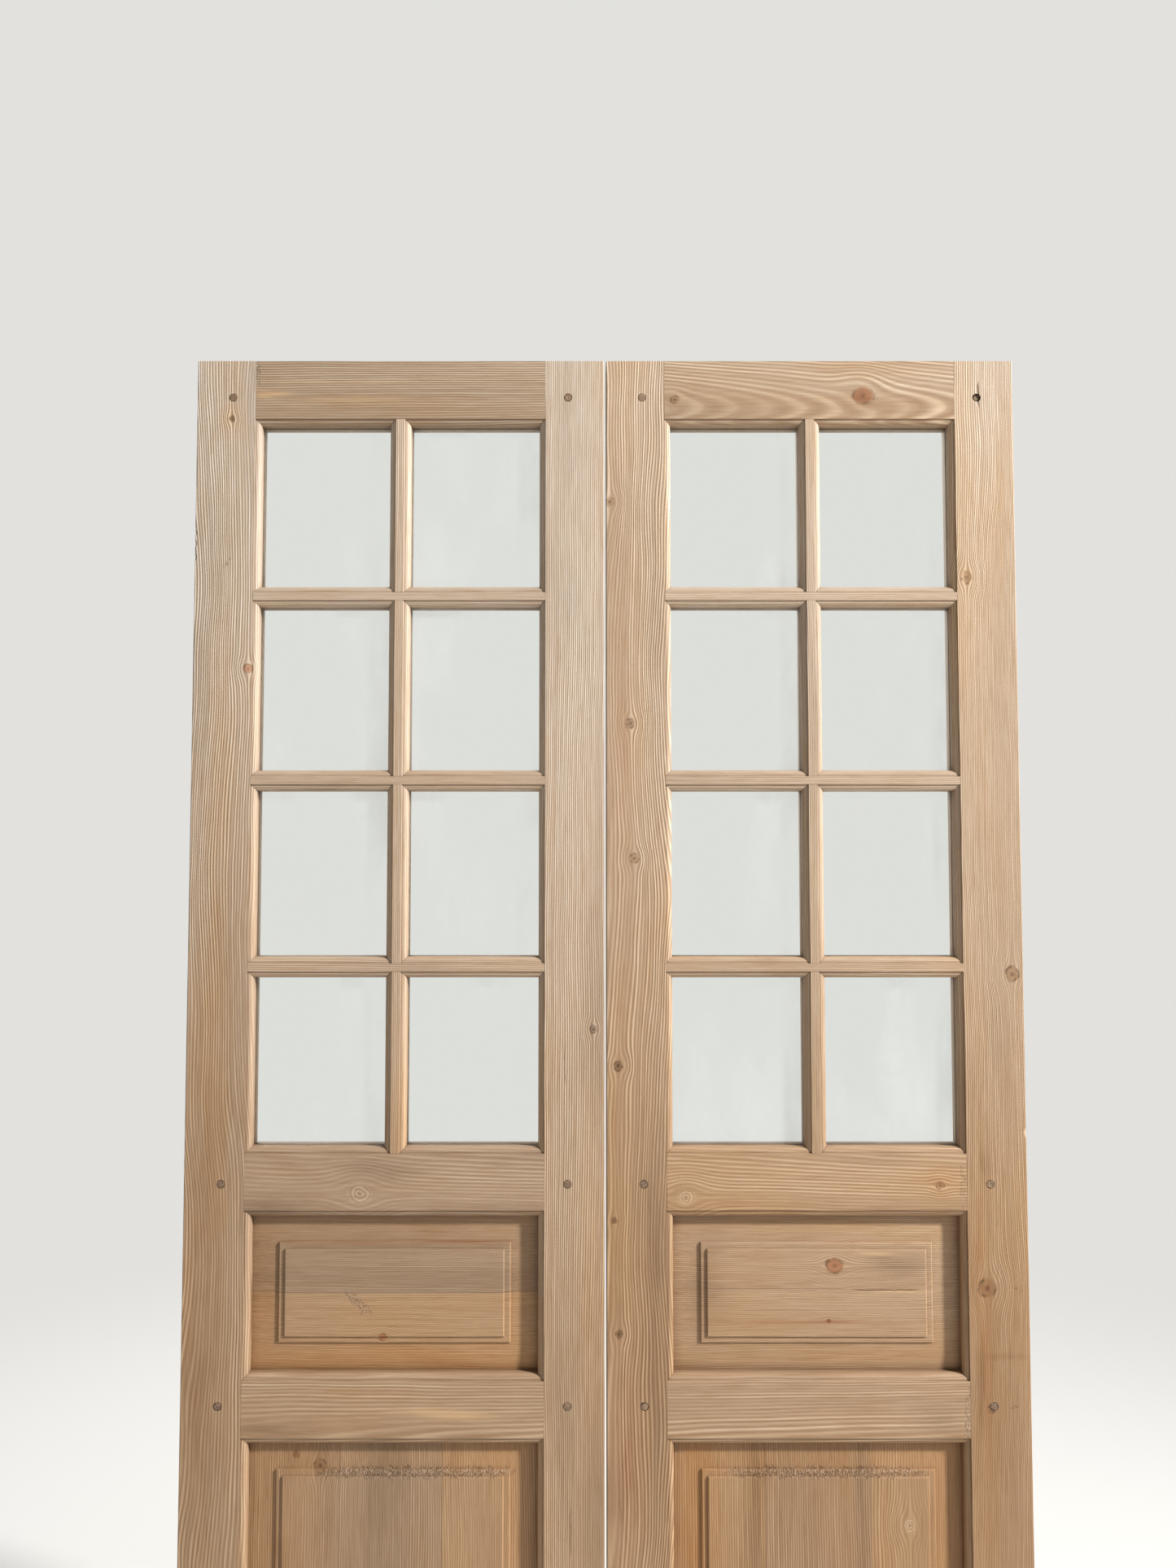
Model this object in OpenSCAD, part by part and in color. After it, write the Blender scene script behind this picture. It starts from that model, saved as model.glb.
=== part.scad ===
// Pair of glazed french door leaves in stripped pine, with their butt hinges.
// The pair stands on the XY plane, centred on X, with its front faces towards -Y.
// Within a leaf, X runs from the hinge edge to the meeting edge, Y runs back from
// the front face and Z runs up from the bottom edge.

/* [Leaf] */
// Width of one leaf
leaf_w = 600; // [520:1:760]
// Height of the leaves
leaf_h = 2300; // [2150:1:2600]
// Thickness of the stiles and rails
leaf_t = 42; // [38:0.5:54]
// Gap between the meeting edges of the two leaves
meeting_gap = 3; // [2.6:0.1:6]
// Radius worn onto the long outer edges of the stiles
arris_r = 1.5; // [0.5:0.1:3]

/* [Stiles and rails] */
// Face width of each stile
stile_w = 86; // [76:1:110]
// Face height of the top rail
top_rail_h = 87; // [78:1:120]
// Face height of the lock rail, under the glass
lock_rail_h = 80; // [72:1:120]
// Face height of the lower rail, between the two panels
lower_rail_h = 79; // [72:1:120]
// Face height of the bottom rail
bottom_rail_h = 150; // [120:1:220]

/* [Openings, from face to face] */
// Height of the glazed opening
glazed_h = 1068; // [900:1:1140]
// Height of the small panel's opening
small_opening_h = 237; // [190:1:300]

/* [Sticking: the moulding round each opening] */
// Width of the sticking, seen from the front
stick_w = 9; // [7:0.1:11]
// Depth of the step between the face and the ovolo
fillet_d = 2; // [1:0.1:3]
// Width of the step between the face and the ovolo
fillet_w = 1.5; // [0.5:0.1:2.5]
// Width of the panel groove, between the front and the rear sticking
groove_w = 8; // [6:0.1:10]

/* [Glazing] */
// Face width of the upright bar
bar_w = 13; // [10:0.5:18]
// Face height of a cross bar
cross_h = 12; // [10:0.5:18]
// Thickness of the glass
glass_t = 4; // [3:0.1:5]
// Gap round a pane in its rebate
pane_gap = 1; // [0.5:0.1:2]
// How far the beads stop short of the rear face
bead_set = 2; // [0.5:0.1:4]
// Radius of the round on the beads
bead_r = 6; // [3:0.1:6.5]
// Clearance of the beads at each mitre
bead_fit = 0.1; // [0.05:0.05:0.3]
// Depth at which the bars are halved over each other, from the front face
halving_d = 24; // [20:0.5:28]
// Length of the bars' stub tenons
stub_l = 14; // [8:0.5:18]
// Thickness of the bars' stub tenons
stub_t = 10; // [6:0.5:10]

/* [Panels] */
// How far the groove is cut in beyond the face line
groove_in = 4; // [3:0.1:6]
// Gap that the panel has at the bottom of its groove
panel_gap = 1.5; // [0.5:0.1:2]
// Play of the panel's tongue at each side of its groove
panel_play = 0.2; // [0.1:0.05:0.4]
// Width of the sloping margin, from the sticking to the field's moulding
bevel_w = 39; // [25:0.5:50]
// Rise of the sloping margin
bevel_rise = 3; // [1.5:0.1:4]
// Width of the stepped moulding round the field
field_band = 9; // [6:0.5:14]
// Height of each of the two steps up to the field
field_step = 2.6; // [1.5:0.1:3]
// Radius on the edge of each step
field_r = 2.2; // [0.8:0.1:2.4]

/* [Tenons and pegs] */
// Thickness of the rails' tenons
tenon_t = 12; // [9:0.5:14]
// Shoulder of a tenon above and below
tenon_inset = 12; // [8:0.5:14]
// Haunch at the outer end of the top and bottom tenons
haunch = 25; // [18:1:32]
// Clearance round a tenon in its mortise
joint_fit = 0.15; // [0.05:0.05:0.3]
// Radius of a peg
peg_r = 6; // [3.5:0.1:6.5]
// Clearance round a peg
peg_fit = 0.1; // [0.05:0.05:0.2]
// How far a peg stands in from the stile's face line
peg_in = 33; // [24:1:40]
// Height of the top pegs below the top edge
peg_below_top = 55; // [45:1:58]
// Height of the lock rail's pegs below its top face line
peg_below_lock = 43; // [30:1:50]
// Height of the lower rail's pegs below its top face line
peg_below_lower = 35; // [30:1:50]
// Distance of the bottom rail's pegs from the ends of its tenon
peg_end = 26; // [18:1:32]

/* [Hinges] */
// Length of a hinge
hinge_h = 100; // [75:1:130]
// Thickness of the plates
plate_t = 2.5; // [2:0.1:3.5]
// How far a plate reaches in from the rear face
plate_reach = 22; // [20:0.5:26]
// Gap between the two plates of a closed hinge
hinge_gap = 2; // [1.5:0.1:3]
// Radius of the knuckles
knuckle_r = 6; // [5.5:0.1:7]
// Distance of the pin's axis behind the rear face
pin_out = 6.6; // [6:0.1:9]
// Radius of the pin
pin_r = 3; // [2:0.1:3.5]
// Running clearance round the pin
pin_fit = 0.05; // [0.02:0.01:0.09]
// Gap between neighbouring knuckles
knuckle_gap = 0.4; // [0.3:0.05:0.8]
// Radius of the pin's two buttons
button_r = 4.6; // [4:0.1:5]
// Height of the pin's two buttons
button_h = 2.4; // [1.5:0.1:4]
// Clearance round a plate in its recess
gain_fit = 0.2; // [0.1:0.05:0.5]
// Distance of the top hinge's middle below the top edge, and of the bottom one above the bottom
hinge_in = 280; // [230:1:340]
// Height of the middle hinge's middle above the lock rail's top face line
hinge_above_lock = 60; // [60:1:90]
// Distance of the near screws from the rear face
hole_near = 7.5; // [6:0.1:8.5]
// Distance of the far screws from the rear face
hole_far = 15.5; // [14.5:0.1:17]
// Height above and below the hinge's middle of the frame plate's near and the door plate's far screws
hole_near_z = 16; // [10:0.5:22]
// Height above and below the hinge's middle of the frame plate's far and the door plate's near screws
hole_far_z = 38; // [28:0.5:40]

/* [Wood screws] */
// Radius of the screw holes in the plates
hole_r = 2.5; // [2.3:0.05:2.8]
// Radius of the countersinks
sink_r = 4.4; // [4:0.1:4.6]
// Radius of the screw's shank
shank_r = 1.9; // [1.5:0.05:2]
// Length of the screw
screw_l = 30; // [20:1:36]
// Clearance round the screw's head and shank
screw_fit = 0.1; // [0.05:0.01:0.15]
// How far the screw's head sits below the plate's face
head_in = 0.5; // [0.4:0.05:0.7]

/* [Wear] */
// How far the chips go into the outer front edges
chip_d = 2.4; // [1:0.1:3.5]
// Length of the shortest chip along the edge
chip_l = 11; // [6:0.5:16]

/* [Hidden] */
$fn = 64;
SIDES = ["left", "right"];
ROWS = 4;
COLS = 2;
HINGES = ["top", "middle", "bottom"];
PIECES = concat(
    ["hinge_stile", "meeting_stile", "top_rail", "lock_rail", "lower_rail", "bottom_rail", "upright_bar"],
    [for (i = [1:ROWS - 1]) str("cross_bar_", i)],
    [for (i = [1:ROWS * COLS]) str("pane_", i)],
    ["small_panel", "tall_panel", "pegs", "glazing_beads", "hinge_screws", "hinge_pins"],
    [for (h = HINGES, plate = ["door_plate", "frame_plate"]) str(h, "_hinge_", plate)]
);

// Face lines of the rails, as heights above the bottom edge
glass_hi = leaf_h - top_rail_h;
glass_lo = glass_hi - glazed_h;
small_hi = glass_lo - lock_rail_h;
small_lo = small_hi - small_opening_h;
tall_hi = small_lo - lower_rail_h;
tall_lo = bottom_rail_h;

// Depth from a face to the seat of the glass and the panel groove
stick_d = (leaf_t - groove_w) / 2;
ovolo_r = stick_w - fillet_w;
light_w = (leaf_w - 2 * stile_w - (COLS - 1) * bar_w) / COLS;
light_h = (glazed_h - (ROWS - 1) * cross_h) / ROWS;
bar_x = stile_w + light_w;
stub_d = stick_d + (leaf_t - stick_d - stub_t) / 2;
bead_d = stick_d + glass_t;
panel_sight = groove_in - panel_gap + stick_w;
slope_t = groove_w / 2 - panel_play + bevel_rise;
FIELD_STEPS = 2;

// Openings between face lines, as [left, right, bottom, top]
function light_top(row) = glass_hi - row * (light_h + cross_h);
function light_left(col) = stile_w + col * (light_w + bar_w);
function light(row, col) =
    [light_left(col), light_left(col) + light_w, light_top(row) - light_h, light_top(row)];
function cross_z(i) = light_top(i) + cross_h / 2;
SMALL = [stile_w, leaf_w - stile_w, small_lo, small_hi];
TALL = [stile_w, leaf_w - stile_w, tall_lo, tall_hi];
LIGHTS = [for (row = [0:ROWS - 1], col = [0:COLS - 1]) light(row, col)];

// Edges of an opening, as quarter turns from its bottom edge
BOTTOM_EDGE = 0;
LEFT_EDGE = 1;
TOP_EDGE = 2;
RIGHT_EDGE = 3;

// Heights of the tenons, as [bottom, top], from the top rail down
TENONS = [
    [glass_hi + tenon_inset, leaf_h - haunch],
    [small_hi + tenon_inset, glass_lo - tenon_inset],
    [tall_hi + tenon_inset, small_lo - tenon_inset],
    [haunch, tall_lo - tenon_inset]
];
PEG_HEIGHTS = [
    leaf_h - peg_below_top,
    glass_lo - peg_below_lock,
    small_lo - peg_below_lower,
    TENONS[3][1] - peg_end,
    TENONS[3][0] + peg_end
];
PEG_PLACES = [stile_w - peg_in, leaf_w - stile_w + peg_in];

// Chips of the outer edges: how far each lies below the top, and its length against the shortest
LEFT_CHIPS = [[257, 1], [273, 1.4], [293, 1.2]];
RIGHT_CHIPS = [[1125, 1.7]];

// Hinge places and parts
HINGE_HEIGHTS = [leaf_h - hinge_in, glass_lo + hinge_above_lock, hinge_in];
KNUCKLES = 5;
knuckle_l = hinge_h / KNUCKLES;
pin_x = -hinge_gap / 2;
pin_y = leaf_t + pin_out;
sink_d = sink_r - hole_r;
// The two plates' screws are staggered, so that their heads don't meet when the hinge is shut
FRAME_HOLES = [
    for (s = [-1, 1], p = [[hole_near, hole_near_z], [hole_far, hole_far_z]]) [leaf_t - p[0], s * p[1]]
];
DOOR_HOLES = [
    for (s = [-1, 1], p = [[hole_near, hole_far_z], [hole_far, hole_near_z]]) [leaf_t - p[0], s * p[1]]
];

// How far a moulding is drawn into its own member, and a cutter past its face
lap = 1;

// Stands the left leaf in its place, or the right one as its mirror image
module on_leaf(side) {
    mirror([side == "right" ? 1 : 0, 0, 0])
        translate([-leaf_w - meeting_gap / 2, -leaf_t / 2, 0])
            children();
}

// Sweeps a section, drawn as height and depth, along X
module along_x(length) {
    rotate([0, 90, 0]) linear_extrude(length) mirror([1, 0]) children();
}

// Sweeps an outline, drawn as X and Z, through a depth
module through(depth) {
    translate([0, depth, 0]) rotate([90, 0, 0]) linear_extrude(depth) children();
}

// Turns a piece of the rear face from one drawn on the front face
module on_rear() {
    translate([0, leaf_t, 0]) mirror([0, 1, 0]) children();
}

// Outline of a moulding's length, mitred at both ends, with a root inside its member
module mitred(length, width, root, fit) {
    polygon([[fit, 0], [length - fit, 0], [length - width - fit, width], [width + fit, width]]);
    if (root > 0) translate([0, -root]) square([length, root]);
}

// One side of an opening's moulding, from a section drawn as reach and depth
module moulding(opening, edge, width, root = 0, fit = 0) {
    upright = edge == LEFT_EDGE || edge == RIGHT_EDGE;
    length = upright ? opening[3] - opening[2] : opening[1] - opening[0];
    x = edge == BOTTOM_EDGE || edge == LEFT_EDGE ? opening[0] : opening[1];
    z = edge == BOTTOM_EDGE || edge == RIGHT_EDGE ? opening[2] : opening[3];
    translate([x, 0, z]) rotate([0, 90 * edge, 0]) intersection() {
        along_x(length) children();
        through(leaf_t) mitred(length, width, root, fit);
    }
}

// Section of the sticking: a step, an ovolo and a straight lip down to the seat
module sticking_section() {
    translate([-lap, fillet_d]) square([lap + fillet_w, stick_d - fillet_d]);
    translate([-lap, fillet_d + ovolo_r]) square([lap + stick_w, stick_d - fillet_d - ovolo_r]);
    intersection() {
        translate([fillet_w, fillet_d + ovolo_r]) circle(r = ovolo_r);
        translate([0, fillet_d]) square([stick_w, stick_d - fillet_d]);
    }
}

module sticking(opening, edge) {
    moulding(opening, edge, stick_w, root = lap) sticking_section();
}

// Sticking on both faces, for a panel's opening
module panel_sticking(opening, edge) {
    sticking(opening, edge);
    on_rear() sticking(opening, edge);
}

// Groove for a panel's tongue, round the whole opening
module panel_groove(opening) {
    translate([opening[0] - groove_in, stick_d, opening[2] - groove_in])
        cube([opening[1] - opening[0] + 2 * groove_in, groove_w, opening[3] - opening[2] + 2 * groove_in]);
}

// A rail's tenons, from one outer edge of the leaf to the other
module tenon(i, fit) {
    translate([-lap * sign(fit), (leaf_t - tenon_t) / 2 - fit, TENONS[i][0] - fit])
        cube([leaf_w + 2 * lap * sign(fit), tenon_t + 2 * fit, TENONS[i][1] - TENONS[i][0] + 2 * fit]);
}

// Pegs through every joint, or their bores
module peg_rods(radius, extra) {
    for (x = PEG_PLACES, z = PEG_HEIGHTS)
        translate([x, -extra, z]) rotate([-90, 0, 0]) cylinder(r = radius, h = leaf_t + 2 * extra);
}

// Stub tenons of the cross bars and the upright bar
module cross_stubs(i, fit) {
    translate([stile_w - stub_l - fit, stub_d - fit, cross_z(i) - cross_h / 2 - fit])
        cube([leaf_w - 2 * (stile_w - stub_l - fit), stub_t + 2 * fit, cross_h + 2 * fit]);
}

module upright_stubs(fit) {
    translate([bar_x - fit, stub_d - fit, glass_lo - stub_l - fit])
        cube([bar_w + 2 * fit, stub_t + 2 * fit, glazed_h + 2 * (stub_l + fit)]);
}

// Section of a stile: square timber with worn outer edges
module stile_section() {
    translate([arris_r, 0]) square([stile_w - arris_r, leaf_t]);
    translate([0, arris_r]) square([stile_w, leaf_t - 2 * arris_r]);
    for (depth = [arris_r, leaf_t - arris_r])
        translate([arris_r, depth]) circle(r = arris_r);
}

// Timber of a stile on the hinge side, with its joints cut
module stile_timber(col, edge, flipped) {
    difference() {
        union() {
            translate([flipped ? leaf_w : 0, 0, 0]) mirror([flipped ? 1 : 0, 0, 0])
                linear_extrude(leaf_h) stile_section();
            for (row = [0:ROWS - 1]) sticking(light(row, col), edge);
            for (opening = [SMALL, TALL]) panel_sticking(opening, edge);
        }
        for (opening = [SMALL, TALL]) panel_groove(opening);
        for (i = [0:len(TENONS) - 1]) tenon(i, joint_fit);
        for (i = [1:ROWS - 1]) cross_stubs(i, joint_fit);
        peg_rods(peg_r + peg_fit, lap);
    }
}

// Screws of one hinge plate, pointing along X from the plate's face
module plate_screws() {
    for (p = DOOR_HOLES)
        translate([0, p[0], p[1]]) rotate([0, 90, 0]) rotate_extrude() polygon([
            [0, head_in], [sink_r - screw_fit - head_in, head_in],
            [shank_r, sink_r - screw_fit - shank_r],
            [shank_r, screw_l - 2 * shank_r], [0, screw_l]
        ]);
}

// Pilot holes of one hinge plate's screws
module plate_pilots() {
    for (p = DOOR_HOLES)
        translate([0, p[0], p[1]]) rotate([0, 90, 0]) cylinder(r = shank_r + screw_fit, h = screw_l + lap);
}

// Recess and pilot holes for one hinge's door plate
module hinge_gain() {
    translate([-lap, leaf_t - plate_reach - gain_fit, -hinge_h / 2 - gain_fit])
        cube([plate_t + lap, plate_reach + gain_fit + lap, hinge_h + 2 * gain_fit]);
    plate_pilots();
}

// Hollow of a chip knocked out of the outer front edge
module edge_chip(length) {
    hollow_r = (length * length / 4 + chip_d * chip_d) / (2 * chip_d);
    rotate([0, 0, 45]) translate([chip_d - hollow_r, 0, 0]) rotate([90, 0, 0])
        cylinder(r = hollow_r, h = leaf_t / 2, center = true);
}

module hinge_stile(side) color("burlywood") difference() {
    stile_timber(0, LEFT_EDGE, false);
    for (z = HINGE_HEIGHTS) translate([0, 0, z]) hinge_gain();
    for (chip = side == "left" ? LEFT_CHIPS : RIGHT_CHIPS)
        translate([0, 0, leaf_h - chip[0]]) edge_chip(chip_l * chip[1]);
}

module meeting_stile() color("burlywood") stile_timber(COLS - 1, RIGHT_EDGE, true);

// Timber of a rail between two face lines, with its tenons and peg bores
module rail_timber(i, lo, hi) {
    difference() {
        union() {
            translate([stile_w, 0, lo]) cube([leaf_w - 2 * stile_w, leaf_t, hi - lo]);
            tenon(i, 0);
            children();
        }
        for (opening = [SMALL, TALL]) panel_groove(opening);
        upright_stubs(joint_fit);
        peg_rods(peg_r + peg_fit, lap);
    }
}

module top_rail() color("wheat") rail_timber(0, glass_hi, leaf_h) {
    for (col = [0:COLS - 1]) sticking(light(0, col), TOP_EDGE);
}

module lock_rail() color("wheat") rail_timber(1, small_hi, glass_lo) {
    for (col = [0:COLS - 1]) sticking(light(ROWS - 1, col), BOTTOM_EDGE);
    panel_sticking(SMALL, TOP_EDGE);
}

module lower_rail() color("wheat") rail_timber(2, tall_hi, small_lo) {
    panel_sticking(SMALL, BOTTOM_EDGE);
    panel_sticking(TALL, TOP_EDGE);
}

module bottom_rail() color("wheat") rail_timber(3, 0, tall_lo) {
    panel_sticking(TALL, BOTTOM_EDGE);
}

// The upright bar gives way to the cross bars in front of the halving depth
module upright_bar() color("tan") difference() {
    union() {
        translate([bar_x, 0, glass_lo]) cube([bar_w, leaf_t, glazed_h]);
        upright_stubs(0);
        for (row = [0:ROWS - 1]) {
            sticking(light(row, 0), RIGHT_EDGE);
            sticking(light(row, 1), LEFT_EDGE);
        }
    }
    for (i = [1:ROWS - 1])
        translate([bar_x - lap, -lap, cross_z(i) - cross_h / 2])
            cube([bar_w + 2 * lap, halving_d + lap, cross_h]);
}

// The cross bars give way to the upright bar behind the halving depth
module cross_bar(i) color("tan") difference() {
    union() {
        translate([stile_w, 0, cross_z(i) - cross_h / 2]) cube([leaf_w - 2 * stile_w, leaf_t, cross_h]);
        cross_stubs(i, 0);
        for (col = [0:COLS - 1]) {
            sticking(light(i - 1, col), BOTTOM_EDGE);
            sticking(light(i, col), TOP_EDGE);
        }
    }
    translate([bar_x, halving_d, cross_z(i) - cross_h / 2 - lap])
        cube([bar_w, leaf_t - halving_d + lap, cross_h + 2 * lap]);
}

module pane(opening) color("lightcyan", 0.4) {
    translate([opening[0] + pane_gap, stick_d, opening[2] + pane_gap])
        cube([opening[1] - opening[0] - 2 * pane_gap, glass_t, opening[3] - opening[2] - 2 * pane_gap]);
}

// Section of a glazing bead, with a round on its inner rear edge
module bead_section() {
    depth = leaf_t - bead_set - bead_d;
    translate([0, bead_d]) square([stick_w - bead_r, depth]);
    translate([0, bead_d]) square([stick_w, depth - bead_r]);
    intersection() {
        translate([stick_w - bead_r, bead_d + depth - bead_r]) circle(r = bead_r);
        translate([0, bead_d]) square([stick_w, depth]);
    }
}

module glazing_beads() color("peru") {
    for (opening = LIGHTS, edge = [BOTTOM_EDGE, LEFT_EDGE, TOP_EDGE, RIGHT_EDGE])
        moulding(opening, edge, stick_w, fit = bead_fit) bead_section();
}

// Section of a panel's ground: tongue and sloping margins
module ground_section(width) {
    tongue = groove_w / 2 - panel_play;
    margins = [[0, tongue], [panel_sight, tongue], [panel_sight + bevel_w, slope_t]];
    polygon([
        for (p = margins) p,
        for (i = [2:-1:0]) [width - margins[i][0], margins[i][1]],
        for (p = margins) [width - p[0], -p[1]],
        for (i = [2:-1:0]) [margins[i][0], -margins[i][1]]
    ]);
}

// Section of one step of the field, with rounded edges
module step_section(width, i) {
    inset = panel_sight + bevel_w + i * field_band;
    half_t = slope_t + (i + 1) * field_step;
    translate([inset + field_r, -half_t]) square([width - 2 * (inset + field_r), 2 * half_t]);
    translate([inset, field_r - half_t]) square([width - 2 * inset, 2 * (half_t - field_r)]);
    for (x = [inset + field_r, width - inset - field_r], s = [-1, 1])
        translate([x, s * (half_t - field_r)]) circle(r = field_r);
}

// A panel raised and fielded on both faces, standing loose in its groove
module raised_panel(opening) color("goldenrod") {
    tuck = groove_in - panel_gap;
    width = opening[1] - opening[0] + 2 * tuck;
    height = opening[3] - opening[2] + 2 * tuck;
    translate([opening[0] - tuck, leaf_t / 2, opening[2] - tuck]) {
        intersection() {
            linear_extrude(height) ground_section(width);
            along_x(width) ground_section(height);
        }
        for (i = [0:FIELD_STEPS - 1]) intersection() {
            linear_extrude(height) step_section(width, i);
            along_x(width) step_section(height, i);
        }
    }
}

module pegs() color("saddlebrown") peg_rods(peg_r, 0);

module hinge_screws() color("dimgray") for (z = HINGE_HEIGHTS) translate([0, 0, z]) plate_screws();

// Plate with every second knuckle, about the hinge's middle; x is the plate's inner face
module hinge_plate(x, first) {
    difference() {
        union() {
            translate([x, leaf_t - plate_reach, -hinge_h / 2]) cube([plate_t, plate_reach, hinge_h]);
            for (i = [first:2:KNUCKLES - 1]) {
                lower = i == 0 ? 0 : knuckle_gap / 2;
                upper = i == KNUCKLES - 1 ? 0 : knuckle_gap / 2;
                translate([0, 0, -hinge_h / 2 + i * knuckle_l + lower]) {
                    translate([x, leaf_t - lap, 0]) cube([plate_t, pin_out + lap, knuckle_l - lower - upper]);
                    translate([pin_x, pin_y, 0]) cylinder(r = knuckle_r, h = knuckle_l - lower - upper);
                }
            }
        }
        translate([pin_x, pin_y, -hinge_h / 2 - lap]) cylinder(r = pin_r + pin_fit, h = hinge_h + 2 * lap);
        children();
    }
}

// Countersunk screw holes; the sinks open at x, and run on in the direction of way
module screw_holes(holes, x, way) {
    for (p = holes) translate([x, p[0], p[1]]) rotate([0, 90 * way, 0]) {
        cylinder(r = hole_r, h = plate_t + lap);
        translate([0, 0, -lap]) cylinder(r1 = sink_r + lap, r2 = hole_r, h = sink_d + lap);
    }
}

module door_plate(z) color("gray") translate([0, 0, z]) hinge_plate(0, 1) screw_holes(DOOR_HOLES, 0, 1);

module frame_plate(z) color("gray") translate([0, 0, z])
    hinge_plate(-hinge_gap - plate_t, 0) screw_holes(FRAME_HOLES, -hinge_gap, -1);

// A loose pin with a button on each end
module hinge_pin() {
    cylinder(r = pin_r, h = hinge_h + 2 * lap, center = true);
    for (s = [-1, 1]) translate([0, 0, s * (hinge_h + button_h) / 2])
        cylinder(r = button_r, h = button_h, center = true);
}

module hinge_pins() color("slategray") {
    for (z = HINGE_HEIGHTS) translate([pin_x, pin_y, z]) hinge_pin();
}

for (side = SIDES) {
    on_leaf(side) hinge_stile(side);
    on_leaf(side) meeting_stile();
    on_leaf(side) top_rail();
    on_leaf(side) lock_rail();
    on_leaf(side) lower_rail();
    on_leaf(side) bottom_rail();
    on_leaf(side) upright_bar();
    for (i = [1:ROWS - 1])
        on_leaf(side) cross_bar(i);
    for (i = [1:ROWS * COLS])
        on_leaf(side) pane(LIGHTS[i - 1]);
    on_leaf(side) raised_panel(SMALL);
    on_leaf(side) raised_panel(TALL);
    on_leaf(side) pegs();
    on_leaf(side) glazing_beads();
    on_leaf(side) hinge_screws();
    on_leaf(side) hinge_pins();
    for (i = [0:len(HINGES) - 1]) {
        on_leaf(side) door_plate(HINGE_HEIGHTS[i]);
        on_leaf(side) frame_plate(HINGE_HEIGHTS[i]);
    }
}
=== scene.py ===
"""Finishes a pair of glazed pine doors in stripped wood, old glass and worn iron."""

import math
from dataclasses import dataclass, field

import bpy
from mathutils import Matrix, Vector


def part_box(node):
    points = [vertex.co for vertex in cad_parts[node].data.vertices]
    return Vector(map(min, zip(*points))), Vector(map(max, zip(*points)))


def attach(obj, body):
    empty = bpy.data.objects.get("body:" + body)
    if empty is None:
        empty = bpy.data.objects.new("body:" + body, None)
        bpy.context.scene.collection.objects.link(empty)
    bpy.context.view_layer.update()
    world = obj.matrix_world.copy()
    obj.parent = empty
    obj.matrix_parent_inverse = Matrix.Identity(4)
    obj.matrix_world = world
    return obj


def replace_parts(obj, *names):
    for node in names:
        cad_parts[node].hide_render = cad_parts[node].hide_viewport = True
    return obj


bl_info = {
    "name": "Pine French Doors",
    "version": (1, 0, 0),
    "blender": (4, 5, 0),
    "location": "View3D > Sidebar > Doors",
    "description": "Finishes a pair of glazed pine doors and sets up the studio",
    "category": "Object",
}

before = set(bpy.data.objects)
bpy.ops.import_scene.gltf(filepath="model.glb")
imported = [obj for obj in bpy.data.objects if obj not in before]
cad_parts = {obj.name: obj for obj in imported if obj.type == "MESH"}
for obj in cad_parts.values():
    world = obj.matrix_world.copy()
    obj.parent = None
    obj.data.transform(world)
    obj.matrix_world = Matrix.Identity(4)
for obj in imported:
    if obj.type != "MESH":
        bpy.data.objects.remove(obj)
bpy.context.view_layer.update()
SIDES = ("left", "right")
HINGES = ("top", "middle", "bottom")
PANES = range(1, 9)
CROSS_BARS = range(1, 4)

# Lengths are in metres, angles in degrees
PEG_COUNT = 10
PEG_RADIUS = 0.0061
PEG_SIDES = 9
PEG_UNEVEN = 0.0004
PEG_RIM = 0.0012
PEG_DISH = 0.0018
# The right leaf's peg that is broken off, and how far below the face
LOST_PEG = 1
LOST_DEPTH = 0.0022
SCREW_COUNT = 12
SCREW_SIDES = 24
SHANK_SHARE = 0.5
SLOT_WIDTH = 0.0009
# Vertices of one peg or screw lie no farther apart than this across it
ROD_REACH = 0.013
WELD_REACH = 0.00001
FLAT_ANGLE = 0.5
SMOOTH_ANGLE = 30
SHARP_ANGLE = 40
# How far the rings jump from one glued board of a panel to the next
SEAM_SHIFT = 0.113
# Distance from the leaf's middle to a panel's field and to its sunk margin
FIELD_DEPTH = 0.0105
MARGIN_DEPTH = 0.0075
# Reach of the painted shade and dirt that darken the pine in its corners and recesses
CORNER_SHADE_AND_GRIME_REACH = 0.016
KEY_LAMP = {"place": (7.5, -3.3, 5.8), "target": (0.0, 0.0, 1.4), "size": 0.8}
REAR_LAMP = {"place": (-2.4, 3.4, 3.2), "target": (0.0, 0.0, 1.1), "size": 2.4}
FLOOR_RADIUS = 30
FLOOR_LEVEL = -0.003
# Where the floor starts to take the backdrop's colour, and where it is all backdrop
FLOOR_FADE = (1.2, 3.4)


def tone(red, green, blue):
    """Linear colour of a screen colour given in steps of 0 to 255."""
    screen = (red / 255, green / 255, blue / 255)
    return tuple(c / 12.92 if c <= 0.04045 else ((c + 0.055) / 1.055) ** 2.4 for c in screen)


@dataclass
class Knot:
    """A knot on a board's face, in metres of the doors' frame."""

    x: float
    z: float
    size: float
    look: str = "brown"


@dataclass
class Stain:
    """A soft patch of another tint, with its half width and half height."""

    x: float
    z: float
    wide: float
    high: float
    look: str
    strength: float = 0.7


@dataclass
class Check:
    """A fine crack along the grain, from one end to the other."""

    across: float
    start: float
    end: float
    width: float = 0.0006


@dataclass
class Tear:
    """A patch of torn grain, with its half width and half height."""

    x: float
    z: float
    wide: float
    high: float
    strength: float = 1.0
    slant: float = 0.0


@dataclass
class Board:
    """How one board was sawn and what marks it carries."""

    upright: bool
    pith: tuple
    ring: float = 0.0034
    wander: float = 0.02
    contrast: float = 0.6
    tilt: float = 0.012
    tints: dict = field(default_factory=dict)
    knots: tuple = ()
    stains: tuple = ()
    checks: tuple = ()
    seams: tuple = ()
    planks: tuple = ()
    torn: tuple = ()


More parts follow.
